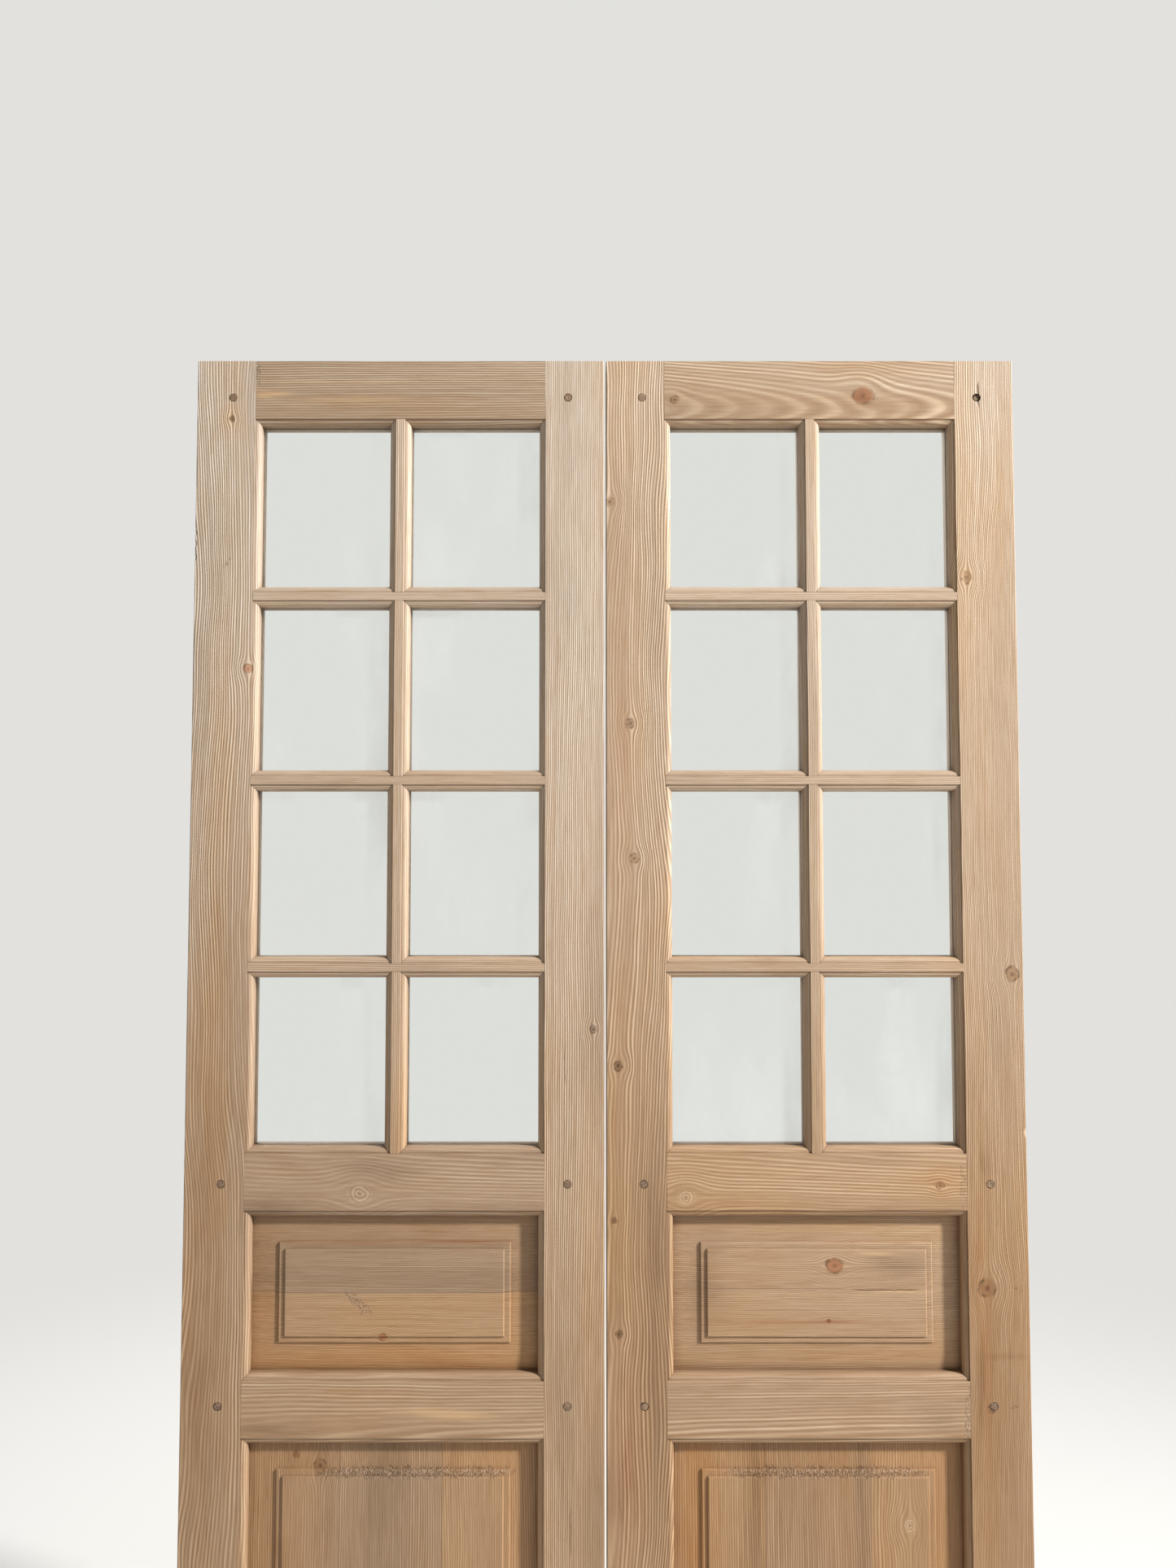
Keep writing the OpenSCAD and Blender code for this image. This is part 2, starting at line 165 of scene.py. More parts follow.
# The pith is given as its distance across the grain from the board's middle, and behind its face
BOARDS = {
    "left_hinge_stile": Board(
        True, (0.11, 0.03), ring=0.0038, wander=0.045, contrast=1.0, tints={"grey": 0.25},
        knots=(Knot(-0.55, 2.213, 0.004, "dark"), Knot(-0.521, 1.842, 0.006, "red")),
        stains=(
            Stain(-0.55, 2.213, 0.014, 0.02, "honey", 0.8),
            Stain(-0.56, 1.6, 0.02, 0.4, "honey", 0.4),
            Stain(-0.56, 1.4, 0.06, 0.4, "brown", 0.4),
            Stain(-0.575, 0.9, 0.04, 0.45, "brown", 0.8),
        ),
        torn=(Tear(-0.555, 1.997, 0.003, 0.011, 0.8, slant=0.7),),
    ),
    "left_meeting_stile": Board(
        True, (-0.20, 0.05), ring=0.003, wander=0.014, contrast=0.8,
        knots=(Knot(-0.017, 1.321, 0.005, "dark"),),
        stains=(
            Stain(-0.02, 1.0, 0.012, 0.4, "honey", 0.3),
            Stain(-0.06, 0.8, 0.02, 0.3, "grey", 0.35),
        ),
        checks=(Check(-0.058, 1.235, 1.31), Check(-0.05, 0.58, 0.66)),
    ),
    "left_top_rail": Board(
        False, (-0.16, 0.04), wander=0.014, contrast=0.9,
        tints={"brown": 1.0, "grey": 0.4},
        stains=(
            Stain(-0.503, 2.2495, 0.014, 0.005, "bare"),
            Stain(-0.483, 2.2505, 0.018, 0.0026, "bare"),
            Stain(-0.38, 2.2685, 0.1, 0.0012, "bare", 0.5),
            Stain(-0.37, 2.242, 0.08, 0.003, "bare", 0.35),
            Stain(-0.5, 2.27, 0.02, 0.02, "brown", 0.5),
        ),
        torn=(Tear(-0.513, 2.28, 0.004, 0.02, 0.8),),
    ),
    "left_lock_rail": Board(
        False, (0.07, 0.05), ring=0.004, tilt=0.03, tints={"grey": 0.25},
        knots=(Knot(-0.351, 1.089, 0.014, "pale"),),
        stains=(
            Stain(-0.5, 1.062, 0.08, 0.018, "dark", 0.6),
            Stain(-0.32, 1.122, 0.05, 0.014, "dark", 0.4),
            Stain(-0.14, 1.066, 0.09, 0.008, "dark", 0.35),
        ),
    ),
    "left_lower_rail": Board(
        False, (-0.05, 0.045), wander=0.03, contrast=0.65, tilt=0.03, tints={"grey": 0.1},
        stains=(
            Stain(-0.255, 0.786, 0.04, 0.0045, "bare", 0.6),
            Stain(-0.205, 0.78, 0.04, 0.0045, "bare", 0.6),
            Stain(-0.49, 0.76, 0.05, 0.008, "dark", 0.5),
        ),
    ),
    "left_bottom_rail": Board(False, (-0.1, 0.05), wander=0.03, tints={"grey": 0.3}),
    "left_upright_bar": Board(
        True, (0.14, 0.02), ring=0.0028, wander=0.01, contrast=0.5, tints={"honey": 0.2}
    ),
    "left_small_panel": Board(
        False, (0.3, 0.03), ring=0.0024, wander=0.012, contrast=0.4,
        seams=(0.947,), planks=("honey", "grey"),
        knots=(Knot(-0.317, 0.885, 0.005, "red"),),
        stains=(
            Stain(-0.33, 0.965, 0.4, 0.02, "grey", 0.4),
            Stain(-0.33, 0.85, 0.4, 0.03, "honey", 0.4),
            Stain(-0.2, 1.017, 0.05, 0.002, "red", 0.9),
            Stain(-0.38, 1.015, 0.1, 0.002, "red", 0.5),
            Stain(-0.49, 0.97, 0.02, 0.08, "brown", 0.8),
        ),
        torn=(Tear(-0.352, 0.931, 0.011, 0.015, 0.8, slant=-1.0),),
    ),
    "left_tall_panel": Board(
        True, (-0.25, 0.03), wander=0.016, contrast=0.5,
        seams=(-0.378, -0.232), planks=("brown", "grey", "honey"),
        knots=(Knot(-0.405, 0.705, 0.008), Knot(-0.44, 0.72, 0.004)),
        stains=(
            Stain(-0.3, 0.5, 0.03, 0.2, "grey", 0.5),
            Stain(-0.45, 0.6, 0.05, 0.2, "honey", 0.4),
        ),
        torn=(Tear(-0.27, 0.6965, 0.15, 0.0075),),
    ),
    "right_meeting_stile": Board(
        True, (-0.05, 0.03), ring=0.0036, wander=0.05, contrast=0.9, tilt=0.02,
        tints={"honey": 0.3, "brown": 0.35},
        knots=(
            Knot(0.007, 2.089, 0.006), Knot(0.037, 1.762, 0.006, "dark"), Knot(0.042, 1.566, 0.006),
            Knot(0.018, 1.269, 0.006, "dark"), Knot(0.013, 1.051, 0.004, "dark"),
            Knot(0.019, 0.893, 0.005, "dark"),
        ),
        stains=(
            Stain(0.08, 0.95, 0.03, 0.3, "grey", 0.8),
            Stain(0.075, 1.95, 0.014, 0.3, "grey", 0.5),
            Stain(0.03, 0.72, 0.02, 0.1, "red", 0.5),
            Stain(0.02, 1.8, 0.02, 0.3, "red", 0.25),
        ),
    ),
    "right_hinge_stile": Board(
        True, (-0.09, 0.04), ring=0.0025, wander=0.03, contrast=0.65,
        tints={"honey": 0.3, "brown": 0.3},
        knots=(
            Knot(0.529, 1.977, 0.008), Knot(0.585, 1.4, 0.009), Knot(0.542, 0.957, 0.011),
            Knot(0.545, 0.79, 0.005),
        ),
        stains=(
            Stain(0.535, 0.9, 0.012, 0.25, "honey", 0.8),
            Stain(0.53, 0.83, 0.006, 0.06, "dark", 0.4),
            Stain(0.56, 0.8, 0.04, 0.4, "brown", 0.8),
            Stain(0.565, 0.862, 0.03, 0.004, "brown", 0.6),
            Stain(0.54, 1.13, 0.006, 0.02, "dark", 0.3),
        ),
        checks=(Check(0.5505, 2.226, 2.272, 0.002),),
        torn=(
            Tear(0.578, 0.955, 0.005, 0.0025, 0.5, slant=1.5),
            Tear(0.577, 0.792, 0.005, 0.003, 0.5, slant=1.5),
        ),
    ),
    "right_top_rail": Board(
        False, (-0.02, 0.05), ring=0.0028, wander=0.012, contrast=0.95, tilt=-0.055,
        tints={"brown": 0.9, "honey": 0.25},
        knots=(Knot(0.381, 2.249, 0.0125, "red"), Knot(0.103, 2.242, 0.0055)),
    ),
    "right_lock_rail": Board(
        False, (0.08, 0.05), ring=0.004, contrast=0.5, tilt=0.03, tints={"honey": 0.4},
        knots=(Knot(0.115, 1.083, 0.011, "pale"), Knot(0.477, 1.1, 0.005)),
        stains=(
            Stain(0.48, 1.1, 0.04, 0.03, "honey", 0.5),
            Stain(0.3, 1.062, 0.2, 0.01, "brown", 0.6),
        ),
        torn=(Tear(0.509, 1.1, 0.005, 0.03, 0.5),),
    ),
    "right_lower_rail": Board(
        False, (-0.06, 0.045), wander=0.016, tints={"grey": 0.05},
        stains=(Stain(0.47, 0.775, 0.03, 0.02, "grey"),),
        torn=(Tear(0.511, 0.775, 0.005, 0.04, 0.6),),
    ),
    "right_bottom_rail": Board(False, (0.1, 0.05), wander=0.03, tints={"honey": 0.2}),
    "right_upright_bar": Board(
        True, (0.12, 0.02), ring=0.0028, wander=0.01, contrast=0.5, tints={"honey": 0.3}
    ),
    "right_small_panel": Board(
        False, (0.26, 0.03), ring=0.0026, wander=0.014, contrast=0.4, tints={"honey": 0.2},
        knots=(Knot(0.327, 0.985, 0.01, "red"), Knot(0.318, 0.908, 0.0026, "red")),
        stains=(
            Stain(0.42, 0.985, 0.04, 0.014, "grey", 0.9),
            Stain(0.14, 0.96, 0.025, 0.06, "grey"),
            Stain(0.3, 0.906, 0.15, 0.002, "red", 0.5),
            Stain(0.325, 0.9065, 0.025, 0.0018, "red", 0.9),
            Stain(0.42, 0.9492, 0.035, 0.0012, "bare", 0.9),
            Stain(0.385, 1.002, 0.03, 0.002, "bare", 0.5),
            Stain(0.3, 0.86, 0.25, 0.02, "honey", 0.6),
            Stain(0.3, 1.04, 0.25, 0.016, "honey", 0.6),
        ),
        checks=(Check(0.951, 0.345, 0.452, 0.0011), Check(0.953, 0.13, 0.345, 0.0003)),
    ),
    "right_tall_panel": Board(
        True, (0.28, 0.03), wander=0.016, contrast=0.5, tints={"honey": 0.1, "brown": 0.3},
        seams=(0.226, 0.375), planks=("honey", "brown", "honey"),
        knots=(Knot(0.429, 0.625, 0.009, "pale"),),
        stains=(
            Stain(0.21, 0.6, 0.013, 0.3, "grey", 0.85),
            Stain(0.362, 0.6, 0.011, 0.3, "grey", 0.85),
            Stain(0.13, 0.6, 0.02, 0.3, "honey", 0.6),
        ),
        torn=(Tear(0.31, 0.6965, 0.15, 0.0075),),
    ),
}
# Strength of a knot's body, heart and dark rim, and the tint of its body
KNOT_LOOKS = {
    "pale": (0.15, 0.25, 0.1, "brown"),
    "red": (0.95, 0.45, 0.85, "red"),
    "brown": (0.85, 0.7, 0.9, "brown"),
    "dark": (0.6, 0.95, 0.9, "dark"),
}
BAR_BOARD = Board(False, (0.12, 0.02), ring=0.0028, wander=0.008, contrast=0.5, tints={"honey": 0.2})
BEAD_BOARD = Board(True, (0.3, 0.1), ring=0.0026, wander=0.008, contrast=0.4, tints={"honey": 0.15})


def colour(name, about, default):
    """A colour that the sidebar shows as a swatch."""
    return bpy.props.FloatVectorProperty(
        name=name, description=about, subtype="COLOR", size=3, min=0, max=1, default=default
    )


def length(name, about, default):
    """A length in metres."""
    return bpy.props.FloatProperty(
        name=name, description=about, unit="LENGTH", precision=5, default=default
    )


def share(name, about, default):
    """A number from 0 to 1."""
    return bpy.props.FloatProperty(
        name=name, description=about, subtype="FACTOR", min=0, max=1, default=default
    )


class PineSettings(bpy.types.PropertyGroup):
    """Colours and surface of the stripped pine."""

    early: colour("Early wood", "The soft wood between the rings", tone(194, 175, 156))
    late: colour("Late wood", "The pale brushed ridge of each ring", tone(240, 227, 212))
    honey: colour("Honey tint", "Where old varnish has soaked in", (0.99, 0.83, 0.59))
    # Painted shade: this tint darkens the wood towards the foot, standing in for the light falling off
    # downwards.
    foot_shade: colour("Age tint", "Towards the foot, where less finish was stripped", (0.75, 0.62, 0.48))
    grey: colour("Grey tint", "Where the wood has weathered", (0.68, 0.67, 0.66))
    brown: colour("Brown tint", "Where the wood has darkened", (0.80, 0.72, 0.62))
    red: colour("Red tint", "Resin streaks and live knots", (0.80, 0.54, 0.42))
    # The dark tint also paints the shade in the corners and recesses
    dark: colour("Dark tint", "Dirt, tears and dead knots", (0.36, 0.30, 0.25))
    bare: colour("Bare wood", "Streaks that took up no stain", tone(226, 188, 142))
    relief: length("Grain relief", "How far the brushed rings stand out", 0.0008)
    arris: length("Worn edge", "Width that wear has taken off the edges", 0.0004)
    # Painted shade and dirt: how strongly the corners and recesses are darkened
    shade_and_grime: share("Grime", "Dirt left in the corners", 0.75)
    peg: colour("Peg end", "The end grain of the pegs", tone(138, 112, 88))


class GlassSettings(bpy.types.PropertyGroup):
    """Look of the old panes."""

    tint: colour("Tint", "Colour of the glass", tone(249, 252, 250))
    dust: share("Dust", "How much dust dulls the glass", 0.14)
    ripple: length("Ripple", "Depth of the waves in the glass", 0.00025)


class IronSettings(bpy.types.PropertyGroup):
    """Look of the hinges and their screws."""

    bare: colour("Bare iron", "Iron where it is rubbed", tone(122, 116, 110))
    skin: colour("Skin", "Dark skin of the iron", tone(70, 62, 56))
    rust: colour("Rust", "Rust in the corners", tone(108, 66, 40))
    screw: colour("Screw", "Steel of the screws", tone(128, 122, 114))
    arris: length("Worn edge", "Width that wear has taken off the edges", 0.0003)


class StudioSettings(bpy.types.PropertyGroup):
    """Camera, lamps and floor."""

    eye: bpy.props.FloatVectorProperty(
        name="Camera", description="Where the camera stands", subtype="TRANSLATION", unit="LENGTH", size=3,
        default=(-0.025, -1.731, 1.584),
    )
    tilt: bpy.props.FloatProperty(
        name="Tilt", description="How far the camera looks up", subtype="ANGLE", default=math.radians(3)
    )
    lens: bpy.props.FloatProperty(
        name="Lens", description="Focal length in millimetres on a 36 mm picture", default=27.09
    )
    key_power: bpy.props.FloatProperty(
        name="Key lamp", description="Power of the lamp from the upper right", subtype="POWER", default=1620
    )
    rear_power: bpy.props.FloatProperty(
        name="Rear lamp", description="Power of the soft lamp behind", subtype="POWER", default=120
    )
    fill: bpy.props.FloatProperty(
        name="Fill", description="Strength of the light from all round", default=0.15
    )
    floor: colour("Floor", "Colour of the floor", tone(222, 220, 216))
    backdrop: colour("Backdrop", "Colour behind the doors", tone(226, 225, 222))


class Nodes:
    """A node tree and short ways to add nodes to it."""

    def __init__(self, tree):
        self.tree = tree

    def add(self, kind, **settings):
        node = self.tree.nodes.new(kind)
        for name, value in settings.items():
            setattr(node, name, value)
        return node

    def put(self, socket, value):
        """Links a socket to another one, or sets it to a plain value."""
        if isinstance(value, bpy.types.NodeSocket):
            self.tree.links.new(value, socket)
        elif socket.type == "RGBA":
            socket.default_value = (*value, 1)
        else:
            socket.default_value = value

    def math(self, operation, *values):
        node = self.add("ShaderNodeMath", operation=operation)
        for socket, value in zip(node.inputs, values):
            self.put(socket, value)
        return node.outputs[0]

    def plus(self, first, *rest):
        for value in rest:
            first = self.math("ADD", first, value)
        return first

    def times(self, first, *rest):
        for value in rest:
            first = self.math("MULTIPLY", first, value)
        return first

    def minus(self, first, second):
        return self.math("SUBTRACT", first, second)

    def squares(self, first, second):
        """The sum of two squares."""
        return self.plus(self.times(first, first), self.times(second, second))

    def rise(self, value, low, high, start=0.0, end=1.0):
        """A smooth step from start to end while the value goes from low to high."""
        node = self.add("ShaderNodeMapRange", interpolation_type="SMOOTHSTEP")
        names = ("Value", "From Min", "From Max", "To Min", "To Max")
        for name, number in zip(names, (value, low, high, start, end)):
            self.put(node.inputs[name], number)
        return node.outputs["Result"]

    def fall(self, value, low, high):
        return self.rise(value, low, high, 1.0, 0.0)

    def place(self):
        """The three coordinates of the shaded point."""
        split = self.add("ShaderNodeSeparateXYZ")
        self.put(split.inputs[0], self.add("ShaderNodeTexCoord").outputs["Object"])
        return split.outputs

    def point(self, x, y, z):
        node = self.add("ShaderNodeCombineXYZ")
        for socket, value in zip(node.inputs, (x, y, z)):
            self.put(socket, value)
        return node.outputs[0]

    def scaled(self, place, waves):
        """A point for noise, with a number of waves a metre on each axis."""
        return self.point(*(self.times(value, scale) for value, scale in zip(place, waves)))

    def noise(self, point, detail=2.0, roughness=0.5):
        node = self.add("ShaderNodeTexNoise")
        self.put(node.inputs["Vector"], point)
        self.put(node.inputs["Scale"], 1.0)
        self.put(node.inputs["Detail"], detail)
        self.put(node.inputs["Roughness"], roughness)
        return node.outputs["Fac"]

    def mix(self, amount, first, second, blend="MIX"):
        node = self.add("ShaderNodeMix", data_type="RGBA", blend_type=blend)
        self.put(node.inputs[0], amount)
        self.put(node.inputs[6], first)
        self.put(node.inputs[7], second)
        return node.outputs[2]

    def crevices(self, reach):
        """How deep in a corner the point lies, from 0 in the open to 1."""
        node = self.add("ShaderNodeAmbientOcclusion", samples=3)
        self.put(node.inputs["Distance"], reach)
        return self.fall(node.outputs["AO"], 0.35, 0.95)


class Shader(Nodes):
    """A material with one surface."""

    def __init__(self, name):
        self.material = bpy.data.materials.new(name)
        self.material.use_nodes = True
        super().__init__(self.material.node_tree)
        self.surface = self.tree.nodes["Principled BSDF"]

    def set(self, name, value):
        self.put(self.surface.inputs[name], value)

    def bump(self, height, distance, strength):
        node = self.add("ShaderNodeBump")
        self.put(node.inputs["Height"], height)
        self.put(node.inputs["Distance"], distance)
        self.put(node.inputs["Strength"], strength)
        self.set("Normal", node.outputs[0])


def seed_of(name):
    """A number of its own for each name, so that no two boards match."""
    return sum(ord(letter) * (place + 3) for place, letter in enumerate(name)) % 97 * 0.37


class Grain:
    """The pine of one board: its rings, knots, stains and cracks."""

    # Noise that runs along the grain: waves a metre across it and along it, and a shift
    BEND = (5.0, 1.6)
    WOBBLE = (24.0, 6.0, 7.0)
    BRUSHED = (9.0, 1.4, 15.0)
    DRIFT = (9.0, 1.3, 3.0)
    CLOUD = (16.0, 2.4, 11.0)
    SMOKE = (11.0, 3.2, 31.0)
    RAGGED = (60.0, 9.0, 5.0)
    CRACK = (2.0, 60.0, 9.0)
    FIBRE = (850.0, 16.0)
    FLECKS = (330.0, 11.0, 2.0)
    BRUSH = (320.0, 22.0, 21.0)
    # Noise of torn grain, in waves a metre on each axis
    ROUGH = (760.0, 500.0, 260.0)

    def __init__(self, name, board, middle):
        self.board = board
        self.pine = bpy.context.scene.door_pine
        self.shader = Shader(name)
        self.seed = seed_of(name)
        x, self.depth, z = self.shader.place()
        self.x, self.z = x, z
        self.across, self.along = (x, z) if board.upright else (z, x)
        self.middle = middle[0] if board.upright else middle[2]

    def stretched(self, wide, long, shift=0.0):
        """A point for noise that runs along the grain."""
        s = self.shader
        return s.point(
            s.plus(s.times(self.across, wide), self.seed + shift),
            s.times(self.depth, wide),
            s.plus(s.times(self.along, long), self.seed),
        )

    def facing(self):
        """1 on the front and the rear of a board, 0 on its edges, which were never brushed."""
        s = self.shader
        split = s.add("ShaderNodeSeparateXYZ")
        s.put(split.inputs[0], s.add("ShaderNodeTexCoord").outputs["Normal"])
        return s.math("ABSOLUTE", split.outputs["Y"])

    def from_knot(self, knot):
        """Distance to a knot in its own radii, and the distance across the grain in metres."""
        s = self.shader
        side, up = (knot.x, knot.z) if self.board.upright else (knot.z, knot.x)
        across = s.minus(self.across, side)
        along = s.times(s.minus(self.along, up), 0.88)
        away = s.math("SQRT", s.squares(across, along))
        return s.math("DIVIDE", away, knot.size), across

    def bent(self):
        """The place across the grain, bent by the tree's growth and round the knots."""
        s, board = self.shader, self.board
        slow = s.noise(self.stretched(*self.BEND), 2.0)
        place = s.plus(self.across, s.times(s.minus(slow, 0.5), board.wander * 2))
        fine = s.noise(self.stretched(*self.WOBBLE), 1.0)
        place = s.plus(place, s.times(s.minus(fine, 0.5), board.wander * 0.2))
        for knot in board.knots:
            radii, across = self.from_knot(knot)
            near = s.math("EXPONENT", s.times(radii, radii, -0.16))
            place = s.minus(place, s.times(across, near, 0.92))
        return place

    def rings(self):
        """The pale ridge of each ring and the dark furrow beside it, each from 0 to 1."""
        s, board = self.shader, self.board
        pith_across, pith_behind = board.pith
        side = s.minus(self.bent(), self.middle + pith_across)
        for seam in board.seams:
            side = s.plus(side, s.times(s.math("GREATER_THAN", self.across, seam), SEAM_SHIFT))
        behind = s.plus(self.depth, s.times(self.along, board.tilt), 0.001 - pith_behind)
        radius = s.math("SQRT", s.squares(side, behind))
        count = s.math("DIVIDE", radius, board.ring)
        year = s.math("FRACT", count)
        ridge = s.times(s.rise(year, 0.3, 0.72), s.fall(year, 0.76, 1.0))
        furrow = s.times(s.rise(year, 0.0, 0.16), s.fall(year, 0.16, 0.45))
        luck = s.add("ShaderNodeTexWhiteNoise", noise_dimensions="1D")
        s.put(luck.inputs["W"], s.plus(s.math("FLOOR", count), self.seed))
        brushed = s.rise(s.noise(self.stretched(*self.BRUSHED), 2.0), 0.36, 0.62, 0.35, 1.0)
        faced = s.rise(self.facing(), 0.2, 0.8, 0.4, 1.0)
        shown = s.times(s.rise(luck.outputs["Value"], 0.0, 1.0, 0.3, 1.0), brushed, faced)
        return s.times(ridge, shown), s.times(furrow, shown)

    def tinted(self, base, amount, look):
        """Multiplies a colour by one of the pine's tints."""
        tint = tuple(getattr(self.pine, look))
        return self.shader.mix(amount, base, tint, "MULTIPLY")

    def stained(self, base):
        """Adds the painted shade that darkens the wood towards the foot, the board's own tints, its stains
        and the slow change of tone along it.
        """
        s, board = self.shader, self.board
        # Painted shade: darker towards the foot, in place of the light falling off downwards.
        base = self.tinted(base, s.rise(self.z, 2.25, 0.65), "foot_shade")
        slow = s.noise(self.stretched(*self.DRIFT), 3.0)
        for look, amount in board.tints.items():
            base = self.tinted(base, s.rise(slow, 0.2, 0.75, amount * 0.3, amount * 1.3), look)
        cloud = s.noise(self.stretched(*self.CLOUD), 3.0)
        base = self.tinted(base, s.rise(cloud, 0.5, 0.78, 0.0, 0.5), "grey")
        base = self.tinted(base, s.rise(cloud, 0.5, 0.25, 0.0, 0.4), "honey")
        smoke = s.noise(self.stretched(*self.SMOKE), 3.0, 0.6)
        base = self.tinted(base, s.rise(smoke, 0.54, 0.74, 0.0, 0.5), "brown")
        edges = (-10.0, *board.seams, 10.0)
        for look, low, high in zip(board.planks, edges, edges[1:]):
            above = s.math("GREATER_THAN", self.across, low)
            inside = s.times(above, s.math("LESS_THAN", self.across, high))
            base = self.tinted(base, s.times(inside, s.rise(slow, 0.2, 0.8, 0.25, 0.6)), look)
        if board.seams or board.planks:
            sunk = s.rise(s.math("ABSOLUTE", self.depth), FIELD_DEPTH, MARGIN_DEPTH)
            base = self.tinted(base, s.times(sunk, 0.4), "honey")
        ragged = s.rise(s.noise(self.stretched(*self.RAGGED), 3.0), 0.25, 0.7, 0.55, 1.0)
        for stain in board.stains:
            wide = s.math("DIVIDE", s.minus(self.x, stain.x), stain.wide)
            high = s.math("DIVIDE", s.minus(self.z, stain.z), stain.high)
            away = s.squares(wide, high)
            amount = s.times(s.math("EXPONENT", s.times(away, -0.8)), ragged, stain.strength)
            if stain.look == "bare":
                base = s.mix(amount, base, tuple(self.pine.bare))
            else:
                base = self.tinted(base, amount, stain.look)
        return base

    def knotted(self, base):
        """Paints the knots, with their own rings and a dark rim."""
        s = self.shader
        for knot in self.board.knots:
            radii, _ = self.from_knot(knot)
            grain = 0.9 / knot.size
            uneven = s.noise(self.stretched(grain, grain * 0.8, knot.z), 3.0)
            shaken = s.plus(radii, s.times(uneven, 0.6), -0.3)
            inside = s.fall(shaken, 0.72, 1.3)
            core = s.fall(shaken, 0.1, 0.5)
            rim = s.times(s.rise(shaken, 0.75, 1.0), s.fall(shaken, 1.0, 1.35))
            patchy = s.rise(s.noise(self.stretched(grain, grain, 4.0), 2.0), 0.4, 0.62)
            years = 2.6 if knot.look == "pale" else 4.3
            year = s.rise(s.math("FRACT", s.times(shaken, years)), 0.35, 0.95)
            body, heart, edge, tint = KNOT_LOOKS[knot.look]
            base = self.tinted(base, s.times(inside, body), tint)
            if knot.look == "pale":
                base = s.mix(s.times(inside, year, 0.45), base, tuple(self.pine.early), "SCREEN")
            else:
                base = self.tinted(base, s.times(inside, year, 0.6), "brown")
            base = self.tinted(base, s.times(core, heart), "dark")
            base = self.tinted(base, s.times(rim, patchy, edge), "dark")
        return base

    def cracks(self):
        """Cracks and seams, from 0 to 1."""
        s = self.shader
        total = 0.0
        wobble = s.times(s.minus(s.noise(self.stretched(*self.CRACK), 3.0), 0.5), 0.004)
        for crack in self.board.checks:
            off = s.math("ABSOLUTE", s.minus(s.plus(self.across, wobble), crack.across))
            taper = min(0.02, (crack.end - crack.start) / 3)
            ends = s.times(
                s.rise(self.along, crack.start, crack.start + taper),
                s.fall(self.along, crack.end - taper, crack.end),
            )
            total = s.plus(total, s.times(s.fall(off, crack.width * 0.4, crack.width), ends))
        for seam in self.board.seams:
            off = s.math("ABSOLUTE", s.minus(self.across, seam))
            total = s.plus(total, s.rise(off, 0.0002, 0.0006, 0.45, 0.0))
        return total

    def tears(self):
        """Where grain is torn out, and how rough it is there."""
        s = self.shader
        band = 0.0
        wild = s.noise(s.point(s.times(self.x, 190.0), self.seed, s.times(self.z, 60.0)), 3.0)
        shake = s.minus(wild, 0.5)
        for tear in self.board.torn:
            rise = s.minus(self.z, tear.z)
            run = s.minus(s.minus(self.x, tear.x), s.times(rise, tear.slant))
            side = s.math("DIVIDE", s.plus(run, s.times(shake, min(0.02, tear.wide * 1.5))), tear.wide)
            up = s.math("DIVIDE", s.plus(rise, s.times(shake, tear.high * 2.4)), tear.high)
            away = s.plus(s.math("POWER", s.math("ABSOLUTE", side), 4.0), s.times(up, up))
            band = s.plus(band, s.times(s.fall(away, 0.35, 1.1), tear.strength))
        rough = s.noise(s.scaled((self.x, self.depth, self.z), self.ROUGH), 3.0, 0.6)
        return band, rough

    def build(self):
        """Lays the layers over each other and returns the material."""
        s, pine, board = self.shader, self.pine, self.board
        early, late = tuple(pine.early), tuple(pine.late)
        ridge, furrow = self.rings()
        fibre = s.noise(self.stretched(*self.FIBRE), 3.0)
        flecks = s.rise(s.noise(self.stretched(*self.FLECKS), 2.0), 0.6, 0.72)
        base = s.mix(s.math("MINIMUM", s.times(ridge, board.contrast * 1.6), 1.0), early, late)
        base = self.tinted(base, s.times(furrow, board.contrast * 1.1), "brown")
        base = self.stained(base)
        base = self.tinted(base, s.rise(fibre, 0.4, 0.75, 0.0, 0.7), "brown")
        base = self.tinted(base, s.times(flecks, 0.5), "brown")
        brush = s.noise(self.stretched(*self.BRUSH), 3.0, 0.6)
        base = self.tinted(base, s.rise(brush, 0.44, 0.66, 0.0, 0.36), "brown")
        base = self.knotted(base)
        cracks = self.cracks()
        torn, rough = self.tears()
        tears = s.times(torn, s.rise(rough, 0.47, 0.62))
        base = self.tinted(base, s.math("MINIMUM", s.times(cracks, 0.9), 1.0), "dark")
        base = self.tinted(base, s.times(tears, 0.6), "dark")
        base = s.mix(s.times(torn, s.rise(rough, 0.46, 0.34), 0.6), base, early)
        # Painted shade and some dirt: the dark tint deepens the corners and recesses, where shade falls
        corner_shade_and_grime = s.times(s.crevices(CORNER_SHADE_AND_GRIME_REACH), s.rise(fibre, 0.2, 0.6, 0.6, 1.0), pine.shade_and_grime)
        base = self.tinted(base, corner_shade_and_grime, "dark")
        s.set("Base Color", base)
        s.set("Roughness", s.rise(fibre, 0.2, 0.8, 0.5, 0.66))
        s.set("Specular IOR Level", 0.35)
        brushed = s.minus(s.times(ridge, 0.45), s.times(furrow, 0.25))
        relief = s.plus(s.times(brushed, board.contrast), s.times(fibre, 0.45), s.times(brush, -0.1))
        relief = s.minus(relief, s.plus(s.times(cracks, 2.0), s.times(tears, 1.8)))
        s.bump(relief, pine.relief, 0.75)
        return s.material


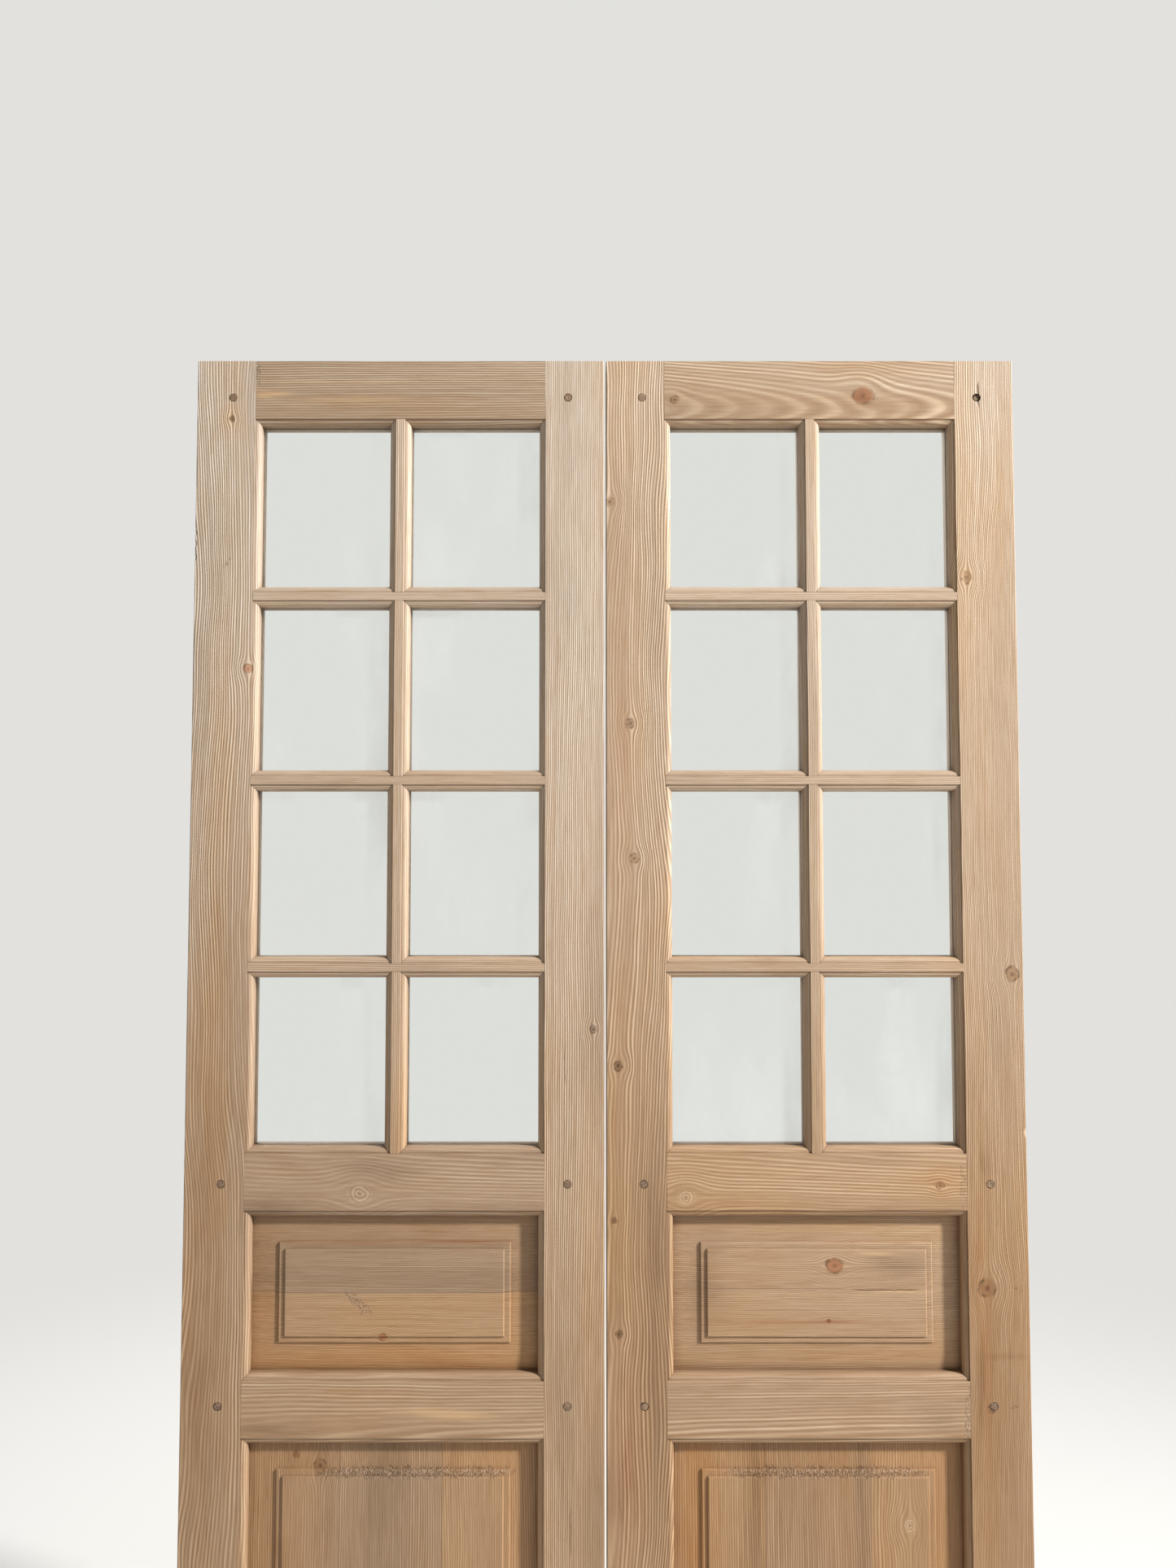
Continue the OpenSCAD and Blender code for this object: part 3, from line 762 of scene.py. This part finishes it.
def peg_wood(name):
    """Dark end grain with rays and a split, with painted shade in its hollows."""
    pine = bpy.context.scene.door_pine
    s = Shader(name)
    place = s.place()
    grain = s.noise(s.scaled(place, (520.0, 60.0, 520.0)), 3.0)
    patch = s.noise(s.scaled(place, (24.0, 24.0, 24.0)), 1.0)
    base = s.mix(s.rise(grain, 0.42, 0.78), tuple(pine.peg), tone(74, 56, 43))
    base = s.mix(s.rise(patch, 0.45, 0.65, 0.0, 0.6), base, tone(162, 132, 104))
    crazed = s.noise(s.scaled(place, (230.0, 20.0, 160.0)), 2.0)
    splits = s.fall(s.math("ABSOLUTE", s.minus(crazed, 0.5)), 0.0, 0.035)
    base = s.mix(s.times(splits, 0.85), base, tone(34, 25, 19))
    # Painted shade: darker in the peg's dish and where it meets its hole.
    base = s.mix(s.times(s.crevices(0.004), 0.8), base, tone(34, 25, 19))
    s.set("Base Color", base)
    s.set("Roughness", 0.7)
    s.bump(grain, 0.0005, 0.6)
    return s.material


def old_glass(name):
    """Drawn glass with a slow ripple and a breath of dust."""
    glass = bpy.context.scene.door_glass
    s = Shader(name)
    place = s.place()
    smear = s.noise(s.scaled(place, (5.0, 5.0, 2.2)), 4.0, 0.6)
    specks = s.noise(s.scaled(place, (640.0, 640.0, 640.0)), 2.0)
    dust = s.plus(s.rise(smear, 0.48, 0.72), s.times(s.rise(specks, 0.68, 0.76), 0.6))
    cover = s.math("MINIMUM", s.times(dust, glass.dust), 0.5)
    s.set("Transmission Weight", s.minus(1.0, cover))
    s.set("Roughness", s.times(cover, 0.5))
    s.set("Base Color", tuple(glass.tint))
    s.set("IOR", 1.5)
    wave = s.noise(s.scaled(place, (9.0, 9.0, 4.0)), 1.0)
    s.bump(wave, glass.ripple, 0.5)
    return s.material


def worn_iron(name):
    """Dark iron, rubbed on its faces and rusty in its corners."""
    iron = bpy.context.scene.door_iron
    s = Shader(name)
    place = s.place()
    rub = s.noise(s.scaled(place, (90.0, 90.0, 60.0)), 4.0)
    pits = s.noise(s.scaled(place, (700.0, 700.0, 700.0)), 2.0)
    base = s.mix(s.rise(rub, 0.42, 0.66), tuple(iron.skin), tuple(iron.bare))
    base = s.mix(s.times(s.rise(rub, 0.52, 0.3), 0.6), base, tuple(iron.rust))
    base = s.mix(s.times(s.crevices(0.004), 0.7), base, tuple(iron.rust))
    s.set("Base Color", base)
    s.set("Metallic", 0.8)
    s.set("Roughness", s.rise(rub, 0.3, 0.7, 0.62, 0.4))
    s.bump(pits, 0.0002, 0.5)
    return s.material


def dull_steel(name):
    """Dull steel with turning marks, with painted shade in the slots."""
    iron = bpy.context.scene.door_iron
    s = Shader(name)
    place = s.place()
    marks = s.noise(s.scaled(place, (200.0, 900.0, 900.0)), 2.0)
    base = s.mix(s.rise(marks, 0.4, 0.7), tuple(iron.screw), tuple(iron.skin))
    # Painted shade: near black in the slot and other narrow hollows.
    base = s.mix(s.crevices(0.0015), base, tone(30, 26, 22))
    s.set("Base Color", base)
    s.set("Metallic", 0.9)
    s.set("Roughness", 0.45)
    return s.material


def smooth_by_angle():
    """A modifier tree that smooths curved faces and keeps sharper edges."""
    name = "Smooth curves"
    if name in bpy.data.node_groups:
        return bpy.data.node_groups[name]
    tree = bpy.data.node_groups.new(name, "GeometryNodeTree")
    tree.interface.new_socket("Geometry", in_out="INPUT", socket_type="NodeSocketGeometry")
    tree.interface.new_socket("Geometry", in_out="OUTPUT", socket_type="NodeSocketGeometry")
    start = tree.nodes.new("NodeGroupInput")
    faces = tree.nodes.new("GeometryNodeSetShadeSmooth")
    edges = tree.nodes.new("GeometryNodeSetShadeSmooth")
    edges.domain = "EDGE"
    edges.inputs["Shade Smooth"].default_value = False
    angle = tree.nodes.new("GeometryNodeInputMeshEdgeAngle")
    sharp = tree.nodes.new("FunctionNodeCompare")
    sharp.inputs[1].default_value = math.radians(SMOOTH_ANGLE)
    end = tree.nodes.new("NodeGroupOutput")
    tree.links.new(start.outputs[0], faces.inputs["Geometry"])
    tree.links.new(faces.outputs[0], edges.inputs["Geometry"])
    tree.links.new(angle.outputs["Unsigned Angle"], sharp.inputs[0])
    tree.links.new(sharp.outputs[0], edges.inputs["Selection"])
    tree.links.new(edges.outputs[0], end.inputs[0])
    return tree


def dress(name, material, arris=0.0):
    """Gives a CAD node its material, its worn edges and smooth curves."""
    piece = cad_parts[name]
    piece.data.materials.clear()
    piece.data.materials.append(material)
    weld = piece.modifiers.new("Weld", "WELD")
    weld.merge_threshold = WELD_REACH
    if arris:
        flat = piece.modifiers.new("Flat faces", "DECIMATE")
        flat.decimate_type = "DISSOLVE"
        flat.angle_limit = math.radians(FLAT_ANGLE)
        worn = piece.modifiers.new("Worn edges", "BEVEL")
        worn.width = arris
        worn.segments = 1
        worn.limit_method = "ANGLE"
        worn.angle_limit = math.radians(SHARP_ANGLE)
    curves = piece.modifiers.new("Smooth curves", "NODES")
    curves.node_group = smooth_by_angle()
    level = piece.modifiers.new("Level faces", "WEIGHTED_NORMAL")
    level.keep_sharp = True


def dress_in_pine(node, board):
    """Gives a CAD node the pine of its own board."""
    low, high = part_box(node)
    material = Grain(node, board, (low + high) / 2).build()
    dress(node, material, bpy.context.scene.door_pine.arris)


def dress_boards(*names):
    """Gives both leaves' nodes of these names the pine of their own boards."""
    for side in SIDES:
        for name in names:
            dress_in_pine(f"{side}_{name}", BOARDS[f"{side}_{name}"])


class DOORS_OT_stiles(bpy.types.Operator):
    """Finish the hinge stiles and the meeting stiles"""

    bl_idname = "doors.stiles"
    bl_label = "Stiles"

    def execute(self, context):
        dress_boards("hinge_stile", "meeting_stile")
        return {"FINISHED"}


class DOORS_OT_rails(bpy.types.Operator):
    """Finish the rails from the top to the bottom"""

    bl_idname = "doors.rails"
    bl_label = "Rails"

    def execute(self, context):
        dress_boards("top_rail", "lock_rail", "lower_rail", "bottom_rail")
        return {"FINISHED"}


class DOORS_OT_glazing_bars(bpy.types.Operator):
    """Finish the upright bars and the cross bars"""

    bl_idname = "doors.glazing_bars"
    bl_label = "Glazing bars"

    def execute(self, context):
        dress_boards("upright_bar")
        for side in SIDES:
            for bar in CROSS_BARS:
                dress_in_pine(f"{side}_cross_bar_{bar}", BAR_BOARD)
        return {"FINISHED"}


class DOORS_OT_panels(bpy.types.Operator):
    """Finish the small and the tall raised panels"""

    bl_idname = "doors.panels"
    bl_label = "Raised panels"

    def execute(self, context):
        dress_boards("small_panel", "tall_panel")
        return {"FINISHED"}


class DOORS_OT_panes(bpy.types.Operator):
    """Glaze the doors with old glass"""

    bl_idname = "doors.panes"
    bl_label = "Panes"

    def execute(self, context):
        glass = old_glass("Old glass")
        for side in SIDES:
            for pane in PANES:
                dress(f"{side}_pane_{pane}", glass)
        return {"FINISHED"}


class DOORS_OT_beads(bpy.types.Operator):
    """Finish the beads that hold the panes from the rear"""

    bl_idname = "doors.beads"
    bl_label = "Glazing beads"

    def execute(self, context):
        for side in SIDES:
            dress_in_pine(f"{side}_glazing_beads", BEAD_BOARD)
        return {"FINISHED"}


def rods(node, axis, count):
    """The middle and the radius of each rod of a node, whose rods lie side by side along one axis."""
    groups = []
    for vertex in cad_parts[node].data.vertices:
        place = vertex.co.copy()
        place[axis] = 0
        near = [group for group in groups if (group[0] - place).length < ROD_REACH]
        if near:
            near[0].append(place)
        else:
            groups.append([place])
    if len(groups) != count:
        raise RuntimeError(f"{node} has {len(groups)} rods")
    found = []
    for group in groups:
        low = [min(values) for values in zip(*group)]
        high = [max(values) for values in zip(*group)]
        middle = [(start + end) / 2 for start, end in zip(low, high)]
        found.append((middle, (high[2] - low[2]) / 2))
    return found


def joined(pieces, name, material, node):
    """One piece out of many that stands for a CAD node and moves with its leaf."""
    bpy.ops.object.select_all(action="DESELECT")
    for piece in pieces:
        piece.select_set(True)
    bpy.context.view_layer.objects.active = pieces[0]
    bpy.ops.object.join()
    whole = bpy.context.active_object
    whole.name = name
    bpy.ops.object.shade_smooth_by_angle(angle=math.radians(SMOOTH_ANGLE))
    whole.data.materials.clear()
    whole.data.materials.append(material)
    side = node.split("_")[0]
    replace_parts(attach(whole, f"{side}_leaf"), node)


class DOORS_OT_pegs(bpy.types.Operator):
    """Drive a hewn peg into each joint"""

    bl_idname = "doors.pegs"
    bl_label = "Pegs"

    def execute(self, context):
        wood = peg_wood("Peg ends")
        for side in SIDES:
            node = f"{side}_pegs"
            low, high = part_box(node)
            middles = [middle for middle, _ in rods(node, 1, PEG_COUNT)]
            middles.sort(key=lambda middle: (-round(middle[2], 4), middle[0]))
            made = [self.hewn(x, z, low.y, high.y, turn, side) for turn, (x, _, z) in enumerate(middles)]
            joined(made, f"{side}_hewn_pegs", wood, node)
        return {"FINISHED"}

    def hewn(self, x, z, front, rear, turn, side):
        """One peg with knife-cut sides, its ends broken a little below or above the face."""
        lost = side == "right" and turn == LOST_PEG
        sunk = LOST_DEPTH if lost else PEG_UNEVEN * math.sin(turn * 2.3)
        length = rear - front - 2 * abs(sunk)
        bpy.ops.object.select_all(action="DESELECT")
        bpy.ops.mesh.primitive_cylinder_add(
            vertices=PEG_SIDES, radius=PEG_RADIUS, depth=length, end_fill_type="NGON",
            location=(x, (front + rear) / 2, z), rotation=(math.radians(90), turn * 0.6, 0),
        )
        peg = bpy.context.active_object
        peg.scale = (0.72 if lost else 0.9, 0.97 - 0.1 * (turn % 3 == 1), 1)
        bpy.ops.object.transform_apply(location=True, rotation=True, scale=True)
        for face in peg.data.polygons:
            face.select = abs(face.normal.y) > 0.9
        bpy.ops.object.mode_set(mode="EDIT")
        bpy.ops.mesh.select_mode(type="FACE")
        bpy.ops.mesh.inset(thickness=PEG_RIM, depth=0.0003, use_individual=True)
        bpy.ops.mesh.inset(thickness=PEG_DISH, depth=-0.0002, use_individual=True)
        bpy.ops.object.mode_set(mode="OBJECT")
        return peg


class DOORS_OT_screws(bpy.types.Operator):
    """Drive a slotted screw into each hole of the door plates"""

    bl_idname = "doors.screws"
    bl_label = "Screws"

    def execute(self, context):
        steel = dull_steel("Screw steel")
        for side in SIDES:
            node = f"{side}_hinge_screws"
            low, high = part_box(node)
            found = rods(node, 0, SCREW_COUNT)
            pattern = self.slotted(found[0][1], high.x - low.x)
            head, lean = (low.x, -90) if side == "left" else (high.x, 90)
            made = [
                self.driven(pattern, head, y, z, lean, turn)
                for turn, ((_, y, z), _) in enumerate(found)
            ]
            bpy.data.objects.remove(pattern)
            joined(made, f"{side}_slotted_screws", steel, node)
        return {"FINISHED"}

    def slotted(self, radius, length):
        """A countersunk screw with its head at the origin and its point below."""
        shank = radius * SHANK_SHARE
        steps = ((radius - shank, SHANK_SHARE), (length - radius - shank, 1), (2 * shank, 0.05))
        bpy.ops.object.select_all(action="DESELECT")
        bpy.ops.mesh.primitive_circle_add(vertices=SCREW_SIDES, radius=radius, fill_type="NGON")
        screw = bpy.context.active_object
        bpy.ops.object.mode_set(mode="EDIT")
        bpy.ops.mesh.select_all(action="SELECT")
        for down, width in steps:
            bpy.ops.mesh.extrude_region_move(TRANSFORM_OT_translate={"value": (0, 0, -down)})
            bpy.ops.transform.resize(value=(width, width, 1))
        bpy.ops.mesh.select_all(action="SELECT")
        bpy.ops.mesh.normals_make_consistent(inside=False)
        bpy.ops.object.mode_set(mode="OBJECT")
        bpy.ops.mesh.primitive_cube_add(size=1, scale=(SLOT_WIDTH, 3 * radius, 2 * SLOT_WIDTH))
        cutter = bpy.context.active_object
        cut = screw.modifiers.new("Slot", "BOOLEAN")
        cut.object = cutter
        bpy.context.view_layer.objects.active = screw
        bpy.ops.object.modifier_apply(modifier=cut.name)
        bpy.data.objects.remove(cutter)
        return screw

    def driven(self, pattern, x, y, z, lean, turn):
        """A copy of the screw in its hole, its slot left at an angle of its own."""
        bpy.ops.object.select_all(action="DESELECT")
        pattern.select_set(True)
        bpy.context.view_layer.objects.active = pattern
        bpy.ops.object.duplicate()
        screw = bpy.context.active_object
        screw.location = (x, y, z)
        screw.rotation_mode = "ZYX"
        screw.rotation_euler = (0, math.radians(lean), turn * 1.1)
        bpy.ops.object.transform_apply(location=True, rotation=True, scale=True)
        return screw


class DOORS_OT_hinges(bpy.types.Operator):
    """Finish the hinge plates and their pins"""

    bl_idname = "doors.hinges"
    bl_label = "Hinges"

    def execute(self, context):
        iron = worn_iron("Hinge iron")
        arris = context.scene.door_iron.arris
        for side in SIDES:
            dress(f"{side}_hinge_pins", iron, arris)
            for hinge in HINGES:
                for plate in ("door_plate", "frame_plate"):
                    dress(f"{side}_{hinge}_hinge_{plate}", iron, arris)
        return {"FINISHED"}


def seen_only(shader, plain, seen):
    """Shows one shader to the eye, also through glass and in reflections, and the other to the light."""
    path = shader.add("ShaderNodeLightPath")
    eye = shader.math("MAXIMUM", path.outputs["Is Camera Ray"], path.outputs["Is Glossy Ray"])
    eye = shader.math("MAXIMUM", eye, path.outputs["Is Transmission Ray"])
    pick = shader.add("ShaderNodeMixShader")
    shader.put(pick.inputs[0], eye)
    shader.tree.links.new(plain, pick.inputs[1])
    shader.tree.links.new(seen, pick.inputs[2])
    return pick.outputs[0]


class DOORS_OT_studio(bpy.types.Operator):
    """Lay the floor and set up the lamps and the camera"""

    bl_idname = "doors.studio"
    bl_label = "Studio"

    def execute(self, context):
        studio = context.scene.door_studio
        self.floor(studio)
        self.world(context.scene, studio)
        self.lamp("Key lamp", power=studio.key_power, **KEY_LAMP)
        self.lamp("Rear lamp", power=studio.rear_power, **REAR_LAMP)
        camera = bpy.data.cameras.new("Camera")
        camera.lens = studio.lens
        camera.sensor_width = 36
        eye = bpy.data.objects.new("Camera", camera)
        eye.location = studio.eye
        eye.rotation_euler = (math.radians(90) + studio.tilt, 0, 0)
        context.scene.collection.objects.link(eye)
        context.scene.camera = eye
        context.scene.view_settings.view_transform = "Standard"
        return {"FINISHED"}

    def floor(self, studio):
        """A round floor whose far part takes the backdrop's colour."""
        bpy.ops.object.select_all(action="DESELECT")
        bpy.ops.mesh.primitive_circle_add(
            vertices=96, radius=FLOOR_RADIUS, fill_type="NGON", location=(0, 0, FLOOR_LEVEL)
        )
        ground = bpy.context.active_object
        ground.name = "Floor"
        bpy.ops.object.transform_apply(location=True)
        s = Shader("Floor")
        s.set("Base Color", tuple(studio.floor))
        s.set("Roughness", 0.8)
        s.set("Specular IOR Level", 0.1)
        x, y, _ = s.place()
        away = s.math("SQRT", s.squares(x, y))
        glow = s.add("ShaderNodeEmission")
        s.put(glow.inputs["Color"], tuple(studio.backdrop))
        fade = s.add("ShaderNodeMixShader")
        s.put(fade.inputs[0], s.rise(away, *FLOOR_FADE))
        s.tree.links.new(s.surface.outputs[0], fade.inputs[1])
        s.tree.links.new(glow.outputs[0], fade.inputs[2])
        shown = seen_only(s, s.surface.outputs[0], fade.outputs[0])
        s.tree.links.new(shown, s.tree.nodes["Material Output"].inputs["Surface"])
        ground.data.materials.append(s.material)

    def world(self, scene, studio):
        """Soft light from all round, with a pale backdrop for the eye."""
        scene.world = bpy.data.worlds.new("Studio")
        scene.world.use_nodes = True
        tree = scene.world.node_tree
        s = Nodes(tree)
        fill = tree.nodes["Background"]
        fill.inputs["Color"].default_value = (1, 1, 1, 1)
        fill.inputs["Strength"].default_value = studio.fill
        shown = s.add("ShaderNodeBackground")
        s.put(shown.inputs["Color"], tuple(studio.backdrop))
        pick = seen_only(s, fill.outputs[0], shown.outputs[0])
        tree.links.new(pick, tree.nodes["World Output"].inputs["Surface"])

    def lamp(self, name, place, target, size, power):
        """A round lamp that shines at a target and isn't seen itself."""
        lamp = bpy.data.lights.new(name, "AREA")
        lamp.shape = "DISK"
        lamp.size = size
        lamp.energy = power
        holder = bpy.data.objects.new(name, lamp)
        holder.location = place
        aim = Vector(target) - Vector(place)
        holder.rotation_euler = aim.to_track_quat("-Z", "Y").to_euler()
        holder.visible_camera = False
        holder.visible_transmission = False
        bpy.context.scene.collection.objects.link(holder)


class DOORS_PT_sidebar(bpy.types.Panel):
    """Lists the pieces and their settings in the sidebar"""

    bl_idname = "DOORS_PT_sidebar"
    bl_label = "French doors"
    bl_space_type = "VIEW_3D"
    bl_region_type = "UI"
    bl_category = "Doors"

    def draw(self, context):
        for operator in OPERATORS:
            self.layout.operator(operator.bl_idname)
        for name in SETTINGS:
            group = getattr(context.scene, name)
            box = self.layout.box()
            for setting in group.bl_rna.properties:
                if setting.identifier not in ("rna_type", "name"):
                    box.prop(group, setting.identifier)


SETTINGS = {
    "door_pine": PineSettings,
    "door_glass": GlassSettings,
    "door_iron": IronSettings,
    "door_studio": StudioSettings,
}
OPERATORS = (
    DOORS_OT_stiles,
    DOORS_OT_rails,
    DOORS_OT_glazing_bars,
    DOORS_OT_panels,
    DOORS_OT_panes,
    DOORS_OT_beads,
    DOORS_OT_pegs,
    DOORS_OT_screws,
    DOORS_OT_hinges,
    DOORS_OT_studio,
)


def register():
    for name, group in SETTINGS.items():
        bpy.utils.register_class(group)
        setattr(bpy.types.Scene, name, bpy.props.PointerProperty(type=group))
    for operator in OPERATORS:
        bpy.utils.register_class(operator)
    bpy.utils.register_class(DOORS_PT_sidebar)


def unregister():
    bpy.utils.unregister_class(DOORS_PT_sidebar)
    for operator in reversed(OPERATORS):
        bpy.utils.unregister_class(operator)
    for name, group in reversed(SETTINGS.items()):
        delattr(bpy.types.Scene, name)
        bpy.utils.unregister_class(group)


def main():
    register()
    for operator in OPERATORS:
        space, name = operator.bl_idname.split(".")
        getattr(getattr(bpy.ops, space), name)()


if __name__ == "__main__":
    main()
